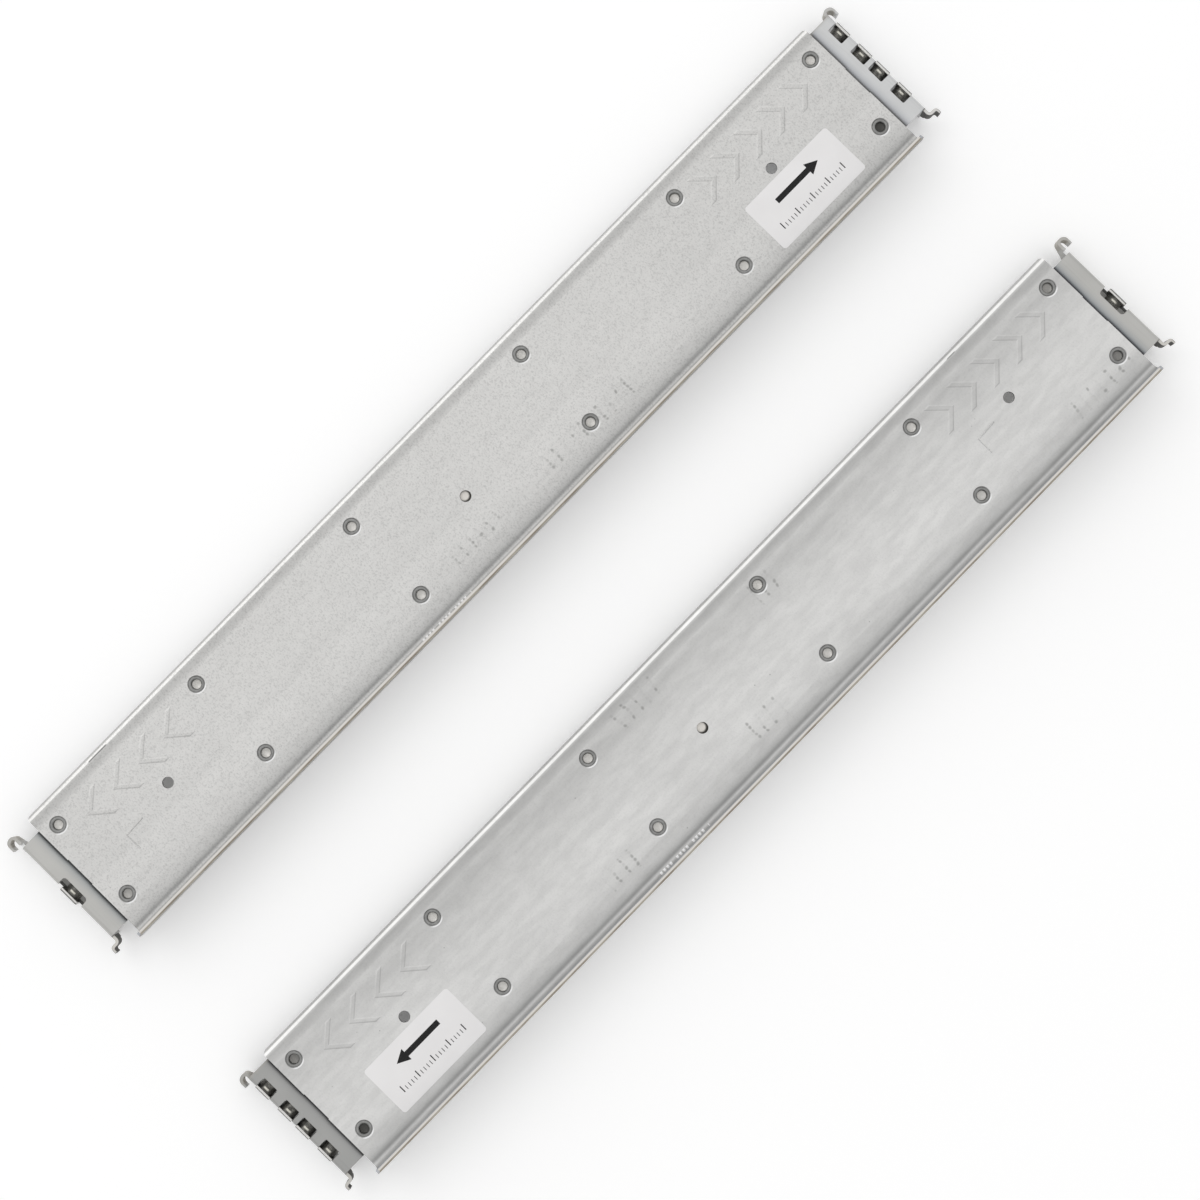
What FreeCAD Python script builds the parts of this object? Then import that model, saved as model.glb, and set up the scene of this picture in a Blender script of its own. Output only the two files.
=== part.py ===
import FreeCAD, Part
import math
import os

# A pair of length-adjustable support rails for 19-inch server racks, lying side by side on their
# outer sides with the equipment side up.  Millimetres, +Z up.  X runs along the rails and Y across
# them; +Y is "up" once a rail stands in its rack.  The origin is the bottom centre of the pair.
# The right-hand rail lies at +Y with its front at +X, the left-hand rail at -Y with its front at -X.
# Each rail is drawn about the middle of its own panel, each end as if it pointed along +X.

# --- rack standard -------------------------------------------------------------------------------
RACK_UNIT = 44.45               # height of one rack unit
RACK_HOLE = 9.5                 # side of a square rack hole
HOLE_STEP_SHORT = 12.7          # step between rack holes across the joint of two units
HOLE_STEP_LONG = 15.875         # step between the other rack holes

# --- the pair ------------------------------------------------------------------------------------
PAIR_PITCH = 169.5              # distance between the middles of the two panels
STAND_HEIGHT = 20.5             # equipment face of a panel above the surface the pair lies on

# --- support panel -------------------------------------------------------------------------------
PANEL_LENGTH = 569.0
PANEL_THICKNESS = 2.0
PANEL_TOP_MARGIN = 0.5          # upper edge above the crown of the upper hooks
PANEL_BOTTOM_MARGIN = 3.95      # lower edge below the tip of the lower hooks
TOP_FLANGE_DEPTH = 14.0         # outward flange, from the equipment face
TOP_BEND_RADIUS = 0.7           # inside radius
LEDGE_REACH = 12.0              # height of the equipment ledge above the equipment face
LEDGE_BEND_RADIUS = 2.6         # inside radius
LEDGE_CORNER = 3.0              # rounding of the ledge at its two ends
TOP_CORNER = 2.4                # rounding of the upper bend at the ends of the panel
END_RECESS_HEIGHT = 17.6        # shallow step in the middle of each end
END_RECESS_DEPTH = 0.35

# --- rivets and holes in the panel ---------------------------------------------------------------
ROWS_BELOW_PATTERN = 2.25       # middle of the two rivet rows below the middle of the rack pattern
ROW_PITCH = 50.0
END_RIVET_INSET = 9.2           # last rivet from the end of the panel
OUTER_RIVET_STEP = 100.3        # last rivet to the second
INNER_RIVET_STEP = 113.0        # second rivet to the third
RIVET_SHANK = 6.4
RIVET_HEAD = 9.6
RIVET_HEAD_HEIGHT = 1.7
RIVET_HEAD_BEVEL = 1.8          # width of the sloping rim
RIVET_HOLLOW = 4.9              # bore of the rolled end
RIVET_HOLLOW_DEPTH = 2.6
COUNTERSINK = 9.2               # diameter at the equipment face
COUNTERSINK_DEPTH = 1.2
ROLL_SINK = 0.15                # rolled end below the equipment face
RIVET_HOLE_SLACK = 0.1
SIGHT_HOLE = 6.0                # plain round holes
SIGHT_HOLE_INSET = 63.8         # the two end holes, on the row middle
CENTRE_HOLE_OFFSET = (-10.0, -5.9)       # third hole, from the panel middle and the row middle
PLATE_HOLE_SLACK = 2.0          # holes in the plates behind the end holes are this much wider

# --- bracket sheet -------------------------------------------------------------------------------
SHEET = 1.6                     # thickness of brackets, slides and guides
SHEET_BEND_RADIUS = 0.8         # inside radius
FRONT_TOP_DROP = 3.65           # upper edge of the front plate below the crown of the upper hook
REAR_TOP_DROP = 8.55            # upper edge of the rear plate below the crown of the upper hook
PLATE_BOTTOM_RISE = 3.45        # lower edge of both plates above the arm of the lower hook
FRONT_REACH = 14.75             # front flange face beyond the end of the panel
REAR_REACH = 12.9               # rear flange face beyond the end of the panel
BRACKET_MARGIN = 10.0           # front plate beyond its inner rivets
PLATE_CORNER = 4.0

# --- rack pattern in the flanges -----------------------------------------------------------------
PATTERN_DEPTH = 8.5             # hole line outward from the equipment face
WINDOW_LENGTH = 9.9             # clearance windows in the front plate
WINDOW_REACH = 4.8              # from the back of the flange
WINDOW_CORNER = 0.8
COLLAR_SIDE = 9.3               # square collar that centres in a square rack hole
COLLAR_PROUD = 0.7
COLLAR_THICKNESS = 1.5
NUT_BARREL = 9.1
NUT_BARREL_LENGTH = 4.5
NUT_BORE = 5.0
REAR_NOTCH_LENGTH = 16.7
REAR_NOTCH_REACH = 3.7          # from the back of the flange
REAR_NOTCH_CORNER = 1.8
REAR_NOTCH_DEPTH = 6.5          # bottom of the notch below the top of the slide
REAR_HEAD_SIDE = 11.4           # square head with rounded corners
REAR_HEAD_CORNER = 1.2
REAR_HEAD_PROUD = 1.1
REAR_HEAD_SINK = 0.5            # head sunk into the flange face
REAR_BARREL_LENGTH = 6.0
FIT_GAP = 0.05                  # gap all round a seated nut

# --- hooks ---------------------------------------------------------------------------------------
HOOK_SLACK = 1.2                # underside of a hook above the lower edge of its rack hole
HOOK_BEND_RADIUS = 1.0          # inside radius of the tight bends
CLAW_BEND_RADIUS = 2.5          # inside radius of the outer half of the upper claw
CLAW_WIDTH = 8.8                # along the rack hole
CLAW_DROP = 6.2                 # upper claw from its crown to its tip
CLAW_NOSE = 2.2                 # rounding of the claw tips
LOWER_CLAW_REACH = 5.0
LOWER_CLAW_DROP = 3.85
ROOT_CORNER = 2.5
LOWER_ROOT_DEPTH = 16.0         # far edge of the lower hook root, from the equipment face
RELIEF_HEIGHT = 2.3             # bend relief beside the rear arm
RELIEF_DEPTH = 7.0              # bottom of the relief from the equipment face

# --- slide and its guides ------------------------------------------------------------------------
SLIDE_TO_BRACKET = 10.0         # closed slide to the inner end of the front plate
SLIDE_GAP = 0.15                # running gap above and below the slide
SLIDE_SIDE_GAP = 0.35
GUIDE_END_INSET = 3.2           # guide ends inside the end of the panel
GUIDE_OVERHANG = 10.0           # guide beyond its last rivet
GUIDE_FOOT = 6.2                # guide foot outside the rivet row
GUIDE_LIP = 6.0                 # flat lip under the slide
GUIDE_HEAD_GAP = 0.4            # flat foot beyond the rivet head
GUIDE_BEND_RADIUS = 0.8         # inside radius
CLOSED_GAP = 0.4                # slide shoulder to guide end when closed

# --- places that follow --------------------------------------------------------------------------
FACE = STAND_HEIGHT                                         # equipment face of the panel
BACK = FACE - PANEL_THICKNESS                               # outer face of the panel
PLATE_BACK = BACK - SHEET                                   # outer face of front plate and guide feet
SLIDE_TOP = BACK - SLIDE_GAP
SLIDE_BACK = SLIDE_TOP - SHEET
HOLE_LINE = FACE - PATTERN_DEPTH
HALF_LENGTH = PANEL_LENGTH / 2
HOOK_HOLE = RACK_UNIT - HOLE_STEP_SHORT / 2                 # end holes from the pattern middle
HOOK_SEAT = HOOK_SLACK - RACK_HOLE / 2                      # underside of a hook from its hole centre
CROWN_RISE = HOOK_HOLE + HOOK_SEAT + SHEET                  # crown above the pattern middle
ARM_FALL = HOOK_HOLE - HOOK_SEAT - SHEET                    # lower arm below the pattern middle
PANEL_HEIGHT = CROWN_RISE + PANEL_TOP_MARGIN + ARM_FALL + LOWER_CLAW_DROP + PANEL_BOTTOM_MARGIN
HALF_HEIGHT = PANEL_HEIGHT / 2
CROWN = HALF_HEIGHT - PANEL_TOP_MARGIN                      # top of the upper hooks
PATTERN_MIDDLE = CROWN - CROWN_RISE
ARM = PATTERN_MIDDLE - ARM_FALL                             # top of the lower hook arms
ROW_MIDDLE = PATTERN_MIDDLE - ROWS_BELOW_PATTERN
PLATE_BOTTOM = ARM + PLATE_BOTTOM_RISE
FRONT_TOP = CROWN - FRONT_TOP_DROP
REAR_TOP = CROWN - REAR_TOP_DROP
OUTER_STATION = HALF_LENGTH - END_RIVET_INSET
SECOND_STATION = OUTER_STATION - OUTER_RIVET_STEP
INNER_STATION = SECOND_STATION - INNER_RIVET_STEP
FRONT_PLATE_START = SECOND_STATION - BRACKET_MARGIN
SIGHT_HOLE_STATION = HALF_LENGTH - SIGHT_HOLE_INSET
REAR_NUT = PATTERN_MIDDLE - HOLE_STEP_SHORT / 2             # hole just below the pattern middle
OVER = 1.0                                                  # how far a cutter passes a face
FAR = 400.0                                                 # longer than anything that is cut

UP = FreeCAD.Vector(0, 0, 1)
ALONG = FreeCAD.Vector(1, 0, 0)
ACROSS = FreeCAD.Vector(0, 1, 0)


# --- general shapes ------------------------------------------------------------------------------
def vec(x, y, z=0.0):
    return FreeCAD.Vector(x, y, z)


def box(x, y, z):
    """Block between two limits on each axis, given in either order."""
    low = vec(min(x), min(y), min(z))
    high = vec(max(x), max(y), max(z))
    size = high - low
    return Part.makeBox(size.x, size.y, size.z, low)


def rod(diameter, length, start, direction):
    return Part.makeCylinder(diameter / 2, length, start, direction)


def drill(diameter, x, y, low, high):
    """Cutter for a hole along Z through a sheet between two heights."""
    return rod(diameter, high - low + 2 * OVER, vec(x, y, low - OVER), UP)


def edges_along(solid, direction, chosen=lambda edge: True):
    """Edges of a solid that run along a direction and meet a further choice."""
    return [e for e in solid.Edges if abs(e.tangentAt(e.FirstParameter).dot(direction)) > 0.99 and chosen(e)]


def corner_cutter(corner, inward, radius, axis):
    """Cutter that rounds the corner of a plate; inward points from the corner into the plate."""
    centre = corner + inward * radius
    outside = corner - inward * OVER
    spans = [(outside[i], centre[i]) if inward[i] else (corner[i] - OVER, corner[i] + FAR) for i in range(3)]
    post = rod(2 * radius, 2 * FAR, centre - axis * FAR, axis)
    return box(*spans).cut(post)


def joined(pieces):
    return pieces[0].fuse(pieces[1:]).removeSplitter()


def mirrored(shape):
    """The same piece at the other end of a rail."""
    return shape.mirror(vec(0, 0, 0), ALONG)


# --- sheet metal ---------------------------------------------------------------------------------
def bent_strip(path, radii, thickness, width, place):
    """Sheet-metal strip: straight runs with a round bend at each inner point of a centre line.

    path holds 2D points of the centre line, radii the centre-line radius of each bend, place()
    turns 2D coordinates into a 3D point and width is the extrusion vector.
    """
    points = [vec(u, v) for u, v in path]
    sides = {1: [], -1: []}
    run_start = points[0]
    for before, corner, after, radius in zip(points, points[1:], points[2:], radii):
        into = (corner - before).normalize()
        out = (after - corner).normalize()
        turn = math.atan2(into.x * out.y - into.y * out.x, into.dot(out))
        setback = radius * math.tan(abs(turn) / 2)
        first = corner - into * setback
        last = corner + out * setback
        centre = first + left_of(into) * math.copysign(radius, turn)
        outward = (corner - centre).normalize()
        for side, edges in sides.items():
            offset = side * thickness / 2
            arc_radius = radius - math.copysign(1, turn) * offset
            a = first + left_of(into) * offset
            b = last + left_of(out) * offset
            add_line(edges, run_start + left_of(into) * offset, a, place)
            edges.append(arc(a, centre + outward * arc_radius, b, place))
        run_start = last
    final = (points[-1] - run_start).normalize()
    for side, edges in sides.items():
        offset = left_of(final) * (side * thickness / 2)
        add_line(edges, run_start + offset, points[-1] + offset, place)
    caps = []
    first_run = (points[1] - points[0]).normalize()
    for point, direction in ((points[0], first_run), (points[-1], final)):
        offset = left_of(direction) * (thickness / 2)
        add_line(caps, point + offset, point - offset, place)
    outline = Part.Wire(Part.__sortEdges__(sides[1] + sides[-1] + caps))
    return Part.Face(outline).extrude(width)


def left_of(direction):
    return vec(-direction.y, direction.x)


def add_line(edges, a, b, place):
    if a.distanceToPoint(b) > 1e-6:
        edges.append(Part.LineSegment(place(a.x, a.y), place(b.x, b.y)).toShape())


def arc(a, middle, b, place):
    return Part.Arc(place(a.x, a.y), place(middle.x, middle.y), place(b.x, b.y)).toShape()


def in_xz(y):
    return lambda x, z: vec(x, y, z)


def in_yz(x):
    return lambda y, z: vec(x, y, z)


def in_xy(z):
    return lambda x, y: vec(x, y, z)


# --- support panel -------------------------------------------------------------------------------
def support_panel():
    """Z-shaped panel: outward flange at the top, upright ledge for the equipment at the bottom."""
    half = PANEL_THICKNESS / 2
    top = HALF_HEIGHT - half
    bottom = -HALF_HEIGHT + half
    path = [
        (top, FACE - TOP_FLANGE_DEPTH),
        (top, FACE - half),
        (bottom, FACE - half),
        (bottom, FACE + LEDGE_REACH),
    ]
    radii = [TOP_BEND_RADIUS + half, LEDGE_BEND_RADIUS + half]
    length = vec(PANEL_LENGTH, 0, 0)
    panel = bent_strip(path, radii, PANEL_THICKNESS, length, in_yz(-HALF_LENGTH))
    return panel.cut(panel_end_cutters() + panel_hole_cutters())


def panel_end_cutters():
    """Rounded upper bend and ledge at both ends, and the shallow step in the middle of each end."""
    cutters = []
    for hand in (-1, 1):
        end = hand * HALF_LENGTH
        step = (end - hand * END_RECESS_DEPTH, end + hand * OVER)
        rows = (ROW_MIDDLE - END_RECESS_HEIGHT / 2, ROW_MIDDLE + END_RECESS_HEIGHT / 2)
        cutters.append(box(step, rows, (BACK - OVER, FACE + OVER)))
        cutters.append(corner_cutter(vec(end, HALF_HEIGHT, 0), vec(-hand, -1, 0), TOP_CORNER, UP))
        ledge_tip = vec(end, -HALF_HEIGHT - OVER, FACE + LEDGE_REACH)
        ledge = corner_cutter(ledge_tip, vec(-hand, 0, -1), LEDGE_CORNER, ACROSS)
        cutters.append(ledge.common(below_the_web()))
    return cutters


def below_the_web():
    """Space that holds the ledge and none of the rest of the panel."""
    return box((-FAR, FAR), (-HALF_HEIGHT - FAR, -HALF_HEIGHT + 2 * PANEL_THICKNESS), (FACE, FACE + FAR))


def stations(hand):
    """Rivet stations of one end of the panel, inner first."""
    return [hand * x for x in (INNER_STATION, SECOND_STATION, OUTER_STATION)]


def row(side):
    """Height of the upper (1) or lower (-1) rivet row."""
    return ROW_MIDDLE + side * ROW_PITCH / 2


def panel_hole_cutters():
    cutters = []
    shank = RIVET_SHANK + 2 * RIVET_HOLE_SLACK
    for x in stations(-1) + stations(1):
        for side in (1, -1):
            cutters.append(drill(shank, x, row(side), BACK, FACE))
            mouth = vec(x, row(side), FACE - COUNTERSINK_DEPTH)
            cutters.append(Part.makeCone(shank / 2, COUNTERSINK / 2, COUNTERSINK_DEPTH, mouth))
    for x in (-SIGHT_HOLE_STATION, SIGHT_HOLE_STATION):
        cutters.append(drill(SIGHT_HOLE, x, ROW_MIDDLE, BACK, FACE))
    along, across = CENTRE_HOLE_OFFSET
    cutters.append(drill(SIGHT_HOLE, along, ROW_MIDDLE + across, BACK, FACE))
    return cutters


# --- rack flanges and their hooks ----------------------------------------------------------------
def flanged_plate(flange_face, plate_top, start, top):
    """Plate that turns outward into the rack flange; flange_face is the face on the rack post."""
    half = SHEET / 2
    middle = flange_face - half
    path = [(start, plate_top - half), (middle, plate_top - half), (middle, 0)]
    height = vec(0, top - PLATE_BOTTOM, 0)
    return bent_strip(path, [SHEET_BEND_RADIUS + half], SHEET, height, in_xz(PLATE_BOTTOM))


def claw_edges():
    """Heights above the surface of the two long edges of a claw, centred on the hole line."""
    return HOLE_LINE - CLAW_WIDTH / 2, HOLE_LINE + CLAW_WIDTH / 2


def claw(flange_face, path, radii, reach):
    """Bent claw with its free end rounded."""
    low, high = claw_edges()
    strip = bent_strip(path, radii, SHEET, vec(0, 0, high - low), in_xy(low))
    tip = flange_face + reach
    outline = box((flange_face - FAR, tip), (-FAR, FAR), (low, high))
    nose = edges_along(outline, ACROSS, lambda e: e.Vertexes[0].Point.x > tip - OVER)
    return strip.common(outline.makeFillet(CLAW_NOSE, nose))


def upper_hook(flange_face, plate_edge, near_edge, far_depth):
    """Claw that drops over the lower edge of the top rack hole, on its root in the flange plane.

    plate_edge is the upper edge of the plate, near_edge where the edge of the root facing the
    equipment starts and far_depth the height at which its sloping far edge starts.
    """
    half = SHEET / 2
    low, high = claw_edges()
    tight = HOOK_BEND_RADIUS + half
    wide = CLAW_BEND_RADIUS + half
    middle = flange_face - half
    crown_line = CROWN - half
    bend_start = CROWN - SHEET - HOOK_BEND_RADIUS
    tip_line = middle + tight + wide
    path = [(middle, near_edge), (middle, crown_line), (tip_line, crown_line), (tip_line, CROWN - CLAW_DROP)]
    hook = claw(flange_face, path, [tight, wide], HOOK_BEND_RADIUS + CLAW_BEND_RADIUS + SHEET)
    root_start = plate_edge - ROOT_CORNER
    outline = [
        (high, near_edge),
        (high, bend_start),
        (low, bend_start),
        (far_depth, plate_edge),
        (0, plate_edge),
        (0, root_start),
        (high, root_start),
    ]
    corners = [vec(flange_face - SHEET, y, z) for z, y in outline]
    root = Part.Face(Part.makePolygon(corners + corners[:1])).extrude(vec(SHEET, 0, 0))
    return [hook, root]


def lower_hook(flange_face):
    """Short claw that turns forward and down into the bottom rack hole."""
    half = SHEET / 2
    tight = HOOK_BEND_RADIUS + half
    middle = flange_face - half
    inside = PLATE_BOTTOM + ROOT_CORNER
    arm_line = ARM - half
    tip_line = flange_face + LOWER_CLAW_REACH - half
    path = [(middle, inside), (middle, arm_line), (tip_line, arm_line), (tip_line, ARM - LOWER_CLAW_DROP)]
    hook = claw(flange_face, path, [tight, tight], LOWER_CLAW_REACH)
    low, high = claw_edges()
    root_end = ARM + HOOK_BEND_RADIUS
    far = FACE - LOWER_ROOT_DEPTH
    root = box((flange_face - SHEET, flange_face), (root_end, inside), (far, high))
    free_corner = edges_along(root, ALONG, lambda e: e.Vertexes[0].Point.y < inside and e.Vertexes[0].Point.z < low)
    return [hook, root.makeFillet(ROOT_CORNER, free_corner)]


def window(flange_face, floor, y, length, reach, corner):
    """Opening in a plate that runs on through the bend into the edge of the flange, down to its floor."""
    x = (flange_face - SHEET - reach, flange_face + reach)
    z = (floor, FACE + OVER)
    block = box(x, (y - length / 2, y + length / 2), z)
    return block.makeFillet(corner, edges_along(block, UP))


def inner_corner_cutters(start, bottom, top):
    """Cutters that round the two corners at the inner end of a plate."""
    return [
        corner_cutter(vec(start, bottom, 0), vec(1, 1, 0), PLATE_CORNER, UP),
        corner_cutter(vec(start, top, 0), vec(1, -1, 0), PLATE_CORNER, UP),
    ]


# --- front bracket -------------------------------------------------------------------------------
def pattern_heights():
    """The four middle holes of the two-unit pattern, top first."""
    outer = HOLE_STEP_SHORT / 2 + HOLE_STEP_LONG
    inner = HOLE_STEP_SHORT / 2
    return [PATTERN_MIDDLE + y for y in (outer, inner, -inner, -outer)]


def front_bracket():
    """Fixed bracket at the front: plate under the panel, rack flange and two hooks."""
    face = HALF_LENGTH + FRONT_REACH
    plate = flanged_plate(face, BACK, FRONT_PLATE_START, FRONT_TOP)
    root_far_depth = FACE - LOWER_ROOT_DEPTH
    hooks = upper_hook(face, FRONT_TOP, FRONT_TOP - ROOT_CORNER, root_far_depth) + lower_hook(face)
    cutters = inner_corner_cutters(FRONT_PLATE_START, PLATE_BOTTOM, FRONT_TOP)
    half_seat = COLLAR_SIDE / 2 + FIT_GAP
    floor = BACK - SHEET - SHEET_BEND_RADIUS
    for y in pattern_heights():
        cutters.append(window(face, floor, y, WINDOW_LENGTH, WINDOW_REACH, WINDOW_CORNER))
        seat = ((y - half_seat, y + half_seat), (HOLE_LINE - half_seat, HOLE_LINE + half_seat))
        cutters.append(box((face - SHEET - OVER, face + OVER), *seat))
    for x in stations(1)[1:]:
        for side in (1, -1):
            cutters.append(drill(RIVET_SHANK + 2 * RIVET_HOLE_SLACK, x, row(side), PLATE_BACK, BACK))
    sight = SIGHT_HOLE + PLATE_HOLE_SLACK
    cutters.append(drill(sight, SIGHT_HOLE_STATION, ROW_MIDDLE, PLATE_BACK, BACK))
    return joined([plate] + hooks).cut(cutters)


# --- rear slide ----------------------------------------------------------------------------------
def rear_slide():
    """Sliding bracket at the rear, closed: tongue between the guides, rack flange and two hooks."""
    face = HALF_LENGTH + REAR_REACH
    shoulder = HALF_LENGTH - GUIDE_END_INSET + CLOSED_GAP
    inner_end = SLIDE_TO_BRACKET - FRONT_PLATE_START
    bottom = ROW_MIDDLE - tongue_half_width()
    top = ROW_MIDDLE + tongue_half_width()
    plate = flanged_plate(face, SLIDE_TOP, shoulder, REAR_TOP)
    tongue = box((inner_end, shoulder + OVER), (bottom, top), (SLIDE_BACK, SLIDE_TOP))
    hooks = upper_hook(face, REAR_TOP, REAR_TOP + RELIEF_HEIGHT, 0) + lower_hook(face)
    relief_x = (face - SHEET - OVER, face + OVER)
    relief_y = (REAR_TOP, REAR_TOP + RELIEF_HEIGHT)
    notch_floor = SLIDE_TOP - REAR_NOTCH_DEPTH
    cutters = inner_corner_cutters(inner_end, bottom, top)
    cutters += [
        window(face, notch_floor, REAR_NUT, REAR_NOTCH_LENGTH, REAR_NOTCH_REACH, REAR_NOTCH_CORNER),
        rear_head(face - REAR_HEAD_SINK, face + OVER, FIT_GAP),
        rod(NUT_BARREL + 2 * FIT_GAP, SHEET + 2 * OVER, vec(face - SHEET - OVER, REAR_NUT, HOLE_LINE), ALONG),
        box(relief_x, relief_y, (FACE - RELIEF_DEPTH, FACE + OVER)),
        drill(SIGHT_HOLE + PLATE_HOLE_SLACK, SIGHT_HOLE_STATION, ROW_MIDDLE, SLIDE_BACK, SLIDE_TOP),
    ]
    return joined([plate, tongue] + hooks).cut(cutters)


# --- guides --------------------------------------------------------------------------------------
def joggle_depth():
    """The guide steps out by the slide's thickness and its two running gaps."""
    return SHEET + 2 * SLIDE_GAP


def joggle_corner():
    """Where the foot of a guide starts to step out, just inside the rivet heads, from the row middle."""
    setback = (GUIDE_BEND_RADIUS + SHEET / 2) * math.tan(math.radians(22.5))
    return ROW_PITCH / 2 - RIVET_HEAD / 2 - GUIDE_HEAD_GAP - setback


def tongue_half_width():
    """The lower edge of the tongue stays clear of the sloping side of the joggle."""
    slope_shift = SHEET / 2 * (math.sqrt(2) - 1)
    return joggle_corner() - (SHEET + SLIDE_GAP) - slope_shift - SLIDE_SIDE_GAP


def guide_stations():
    """Rivets that hold a guide, seen with the rear at +X."""
    return stations(-1)[:1] + stations(1)


def guide(side):
    """Joggled strip: a foot riveted to the panel and a lip that holds the slide; side is 1 or -1."""
    half = SHEET / 2
    foot = BACK - half
    lip = foot - joggle_depth()
    outer = ROW_PITCH / 2 + GUIDE_FOOT
    corner = joggle_corner()
    inner = corner - joggle_depth()
    profile = [(outer, foot), (corner, foot), (inner, lip), (inner - GUIDE_LIP, lip)]
    path = [(ROW_MIDDLE + side * y, z) for y, z in profile]
    start = -INNER_STATION - GUIDE_OVERHANG
    length = vec(HALF_LENGTH - GUIDE_END_INSET - start, 0, 0)
    bend = GUIDE_BEND_RADIUS + half
    strip = bent_strip(path, [bend, bend], SHEET, length, in_yz(start))
    shank = RIVET_SHANK + 2 * RIVET_HOLE_SLACK
    return strip.cut([drill(shank, x, row(side), PLATE_BACK, BACK) for x in guide_stations()])


# --- fasteners -----------------------------------------------------------------------------------
def rivet(x, y):
    """Semi-tubular rivet: low head outside, end rolled out into the countersink of the panel."""
    shank = RIVET_SHANK / 2
    head = RIVET_HEAD / 2
    hollow = RIVET_HOLLOW / 2
    crest = FACE - ROLL_SINK
    flare_start = FACE - COUNTERSINK_DEPTH
    flare = COUNTERSINK / 2 - RIVET_HOLE_SLACK - shank
    roll = shank + flare * (crest - flare_start) / COUNTERSINK_DEPTH
    head_top = PLATE_BACK - RIVET_HEAD_HEIGHT
    profile = [
        (0, head_top),
        (head - RIVET_HEAD_BEVEL, head_top),
        (head, PLATE_BACK),
        (shank, PLATE_BACK),
        (shank, flare_start),
        (roll, crest),
        (hollow, crest),
        (hollow, crest - RIVET_HOLLOW_DEPTH),
        (0, crest - RIVET_HOLLOW_DEPTH),
    ]
    corners = [vec(r, 0, z) for r, z in profile]
    half_section = Part.Face(Part.makePolygon(corners + corners[:1]))
    return half_section.revolve(vec(0, 0, 0), UP, 360).translated(vec(x, y, 0))


def rivet_group(places, sides):
    return [rivet(x, row(side)) for x in places for side in sides]


def front_nut(y):
    """Threaded bush with a square collar in the front flange; the thread is drawn as its bore."""
    face = HALF_LENGTH + FRONT_REACH
    half = COLLAR_SIDE / 2
    collar_end = face + COLLAR_PROUD
    collar_start = collar_end - COLLAR_THICKNESS
    start = face - SHEET - NUT_BARREL_LENGTH
    collar = box((collar_start, collar_end), (y - half, y + half), (HOLE_LINE - half, HOLE_LINE + half))
    barrel = rod(NUT_BARREL, collar_start - start, vec(start, y, HOLE_LINE), ALONG)
    bore = rod(NUT_BORE, 2 * FAR, vec(face - FAR, y, HOLE_LINE), ALONG)
    return joined([collar, barrel]).cut(bore)


def rear_head(start, end, slack):
    """Square head of the rear bush with rounded corners, or its seat, which is wider by the slack."""
    half = REAR_HEAD_SIDE / 2 + slack
    block = box((start, end), (REAR_NUT - half, REAR_NUT + half), (HOLE_LINE - half, HOLE_LINE + half))
    return block.makeFillet(REAR_HEAD_CORNER + slack, edges_along(block, ALONG))


def rear_nut():
    """Threaded bush with a square head in the rear flange; the thread is drawn as its bore."""
    face = HALF_LENGTH + REAR_REACH
    start = face - SHEET - REAR_BARREL_LENGTH
    head_start = face - REAR_HEAD_SINK
    head = rear_head(head_start, face + REAR_HEAD_PROUD, 0)
    barrel = rod(NUT_BARREL, head_start - start, vec(start, REAR_NUT, HOLE_LINE), ALONG)
    bore = rod(NUT_BORE, 2 * FAR, vec(face - FAR, REAR_NUT, HOLE_LINE), ALONG)
    return joined([head, barrel]).cut(bore)


# --- assembly ------------------------------------------------------------------------------------
def front_pieces():
    return {
        "front_bracket": [front_bracket()],
        "bracket_rivets": rivet_group(stations(1)[1:], (1, -1)),
        "front_nuts": [front_nut(y) for y in pattern_heights()],
    }


def rear_pieces():
    return {
        "rear_slide": [rear_slide()],
        "rear_nut": [rear_nut()],
        "upper_guide": [guide(1)],
        "lower_guide": [guide(-1)],
        "upper_guide_rivets": rivet_group(guide_stations(), (1,)),
        "lower_guide_rivets": rivet_group(guide_stations(), (-1,)),
    }


def write(name, solids):
    shape = solids[0] if len(solids) == 1 else Part.makeCompound(solids)
    shape.exportStep("parts/%s.step" % name)


def write_rail(name, hand, panel, front, rear):
    """hand is 1 for the rail whose front points along +X, -1 for the other."""
    place = vec(0, hand * PAIR_PITCH / 2, 0)
    write(name + "_support_panel", [panel.translated(place)])
    for pieces, points_along_x in ((front, hand > 0), (rear, hand < 0)):
        for piece, solids in pieces.items():
            turned = solids if points_along_x else [mirrored(s) for s in solids]
            write("%s_%s" % (name, piece), [s.translated(place) for s in turned])


def main():
    os.makedirs("parts", exist_ok=True)
    panel = support_panel()
    front = front_pieces()
    rear = rear_pieces()
    write_rail("right", 1, panel, front, rear)
    write_rail("left", -1, panel, front, rear)


main()
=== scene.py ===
import math

import bmesh
import bpy
from mathutils import Matrix, Vector


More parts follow.
